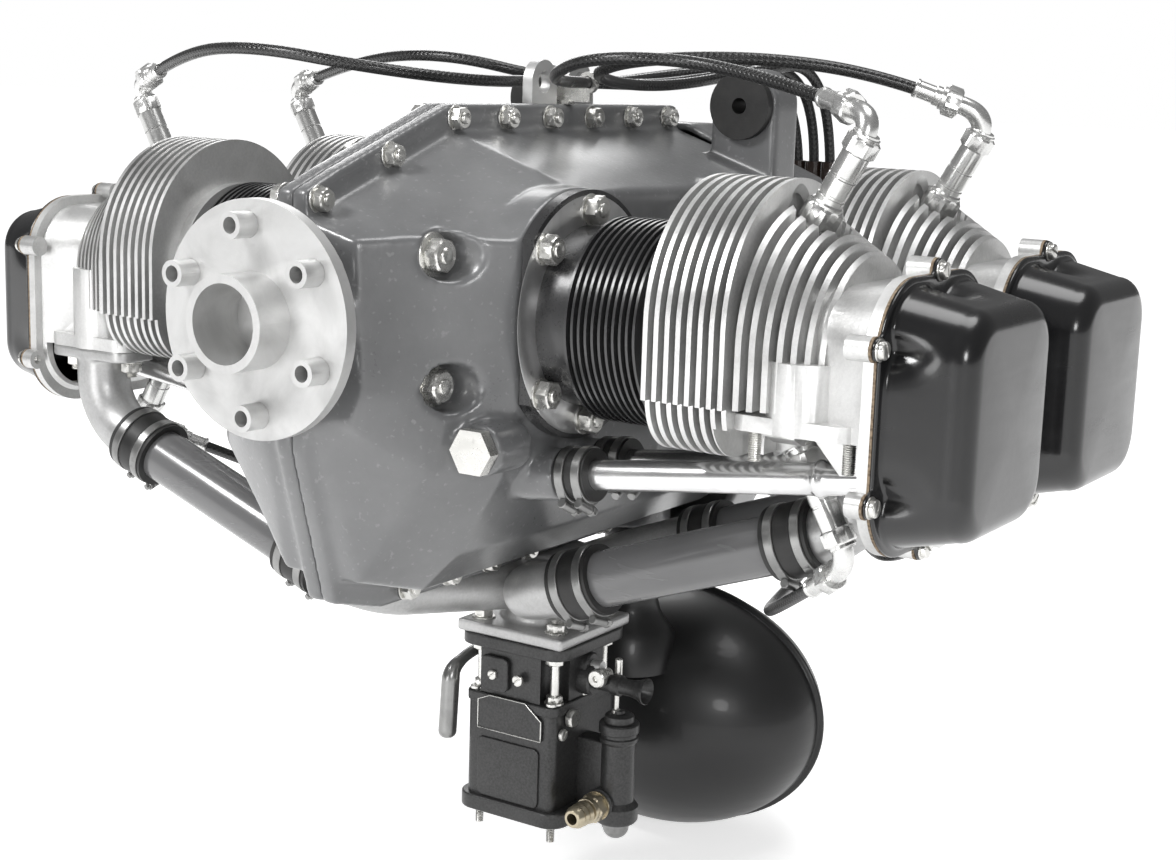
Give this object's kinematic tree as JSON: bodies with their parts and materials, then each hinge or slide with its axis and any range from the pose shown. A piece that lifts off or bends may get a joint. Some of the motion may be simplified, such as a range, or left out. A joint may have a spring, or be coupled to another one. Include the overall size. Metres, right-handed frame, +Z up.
{
  "type": "flat aircraft engine",
  "caption": "Air-cooled flat aircraft piston engine with finned cylinders, flanged crankshaft, updraught carburettor, magnetos and a hung oil tank.",
  "frame": {"origin": "centre of the propeller flange's front face, on the crankshaft's axis", "axes": "-Y forwards out of the propeller flange, +X the engine's left bank, +Z up"},
  "size_m": [0.8, 0.6244, 0.6323],
  "materials": {
    "case_paint": "satin enamel over a sand casting",
    "barrel_paint": "black heat-proof enamel",
    "head_alloy": "bare sand-cast alloy",
    "cover_paint": "gloss enamel",
    "steel": "ground steel",
    "plated_fasteners": "cadmium-plated",
    "tube_steel": "drawn tube",
    "rubber": "black rubber",
    "gasket": "cork and fibre",
    "intake_alloy": "cast alloy",
    "intake_paint": "enamelled pipe",
    "carburettor_alloy": "cast alloy, dulled",
    "brass": "turned brass",
    "sump_paint": "gloss black enamel",
    "magneto_alloy": "cast alloy",
    "cap_plastic": "moulded insulator",
    "lead_braid": "lacquered braid",
    "elbow_alloy": "bright alloy",
    "plug_ceramic": "glazed and plated",
    "piston_alloy": "machined alloy"
  },
  "bodies": {
    "engine": {"crankcase_left": "case_paint", "crankcase_right": "case_paint", "accessory_case": "case_paint", "crankcase_fasteners": "plated_fasteners", "mount_bushings": "rubber", "oil_gallery_plug": "plated_fasteners", "cylinder_base_nuts": "plated_fasteners", "port_studs": "plated_fasteners", "cover_screws": "plated_fasteners", "cover_gaskets": "gasket", "pushrod_tubes": "tube_steel", "pushrod_tube_hoses": "rubber", "pushrod_tube_clamps": "plated_fasteners", "spark_plugs": "plug_ceramic", "ignition_leads": "lead_braid", "ignition_elbows": "elbow_alloy", "lead_clip": "plated_fasteners", "lifting_eyes": "steel", "intake_spider": "intake_alloy", "intake_pipes": "intake_paint", "intake_hoses": "rubber", "intake_hose_clamps": "plated_fasteners", "intake_elbows": "intake_alloy", "carburettor_throttle_body": "carburettor_alloy", "carburettor_bowl": "carburettor_alloy", "carburettor_studs": "plated_fasteners", "carburettor_flange_bolts": "plated_fasteners", "accelerator_pump_nut": "brass", "fuel_inlet_fitting": "brass", "oil_sump": "sump_paint", "magneto_left": "magneto_alloy", "magneto_right": "magneto_alloy", "magneto_cap_left": "cap_plastic", "magneto_cap_right": "cap_plastic", "cylinder_barrel_left_front": "barrel_paint", "cylinder_head_left_front": "head_alloy", "rocker_cover_left_front": "cover_paint", "cylinder_barrel_right_front": "barrel_paint", "cylinder_head_right_front": "head_alloy", "rocker_cover_right_front": "cover_paint", "cylinder_barrel_left_rear": "barrel_paint", "cylinder_head_left_rear": "head_alloy", "rocker_cover_left_rear": "cover_paint", "cylinder_barrel_right_rear": "barrel_paint", "cylinder_head_right_rear": "head_alloy", "rocker_cover_right_rear": "cover_paint"},
    "crank": {"crankshaft": "steel", "prop_bushings": "steel", "crank_gear": "steel"},
    "cam": {"camshaft": "steel", "cam_gear": "steel"},
    "magneto_drive_left": {"magneto_gear_left": "steel"},
    "magneto_drive_right": {"magneto_gear_right": "steel"},
    "throttle": {"throttle_shaft": "steel", "throttle_plate": "brass", "throttle_lever": "steel"},
    "piston_left_front": {"piston_left_front": "piston_alloy"},
    "piston_right_front": {"piston_right_front": "piston_alloy"},
    "piston_left_rear": {"piston_left_rear": "piston_alloy"},
    "piston_right_rear": {"piston_right_rear": "piston_alloy"}
  },
  "joints": [
    {"name": "crank_spin", "type": "hinge", "parent": "engine", "child": "crank", "pos_m": [0, 0, 0], "axis": [0, 1, 0], "continuous": true},
    {"name": "cam_spin", "type": "hinge", "parent": "engine", "child": "cam", "pos_m": [0, 0, -0.1125], "axis": [0, 1, 0], "continuous": true},
    {"name": "magneto_left_spin", "type": "hinge", "parent": "engine", "child": "magneto_drive_left", "pos_m": [0.06797, 0.466, 0.0317], "axis": [0, 1, 0], "continuous": true},
    {"name": "magneto_right_spin", "type": "hinge", "parent": "engine", "child": "magneto_drive_right", "pos_m": [-0.06797, 0.466, 0.0317], "axis": [0, 1, 0], "continuous": true},
    {"name": "throttle_turn", "type": "hinge", "parent": "engine", "child": "throttle", "pos_m": [0, 0.31, -0.277], "axis": [1, 0, 0], "range_deg": [0, 75]},
    {"name": "piston_left_front_slide", "type": "slide", "parent": "engine", "child": "piston_left_front", "axis": [1, 0, 0], "range_m": [-0.0921, 0]},
    {"name": "piston_right_front_slide", "type": "slide", "parent": "engine", "child": "piston_right_front", "axis": [-1, 0, 0], "range_m": [-0.0921, 0]},
    {"name": "piston_left_rear_slide", "type": "slide", "parent": "engine", "child": "piston_left_rear", "axis": [1, 0, 0], "range_m": [0, 0.0921]},
    {"name": "piston_right_rear_slide", "type": "slide", "parent": "engine", "child": "piston_right_rear", "axis": [-1, 0, 0], "range_m": [0, 0.0921]}
  ],
  "couplings": [
    {"joint": "cam_spin", "follows": "crank_spin", "ratio": -0.5},
    {"joint": "magneto_left_spin", "follows": "crank_spin", "ratio": -1},
    {"joint": "magneto_right_spin", "follows": "crank_spin", "ratio": -1}
  ]
}
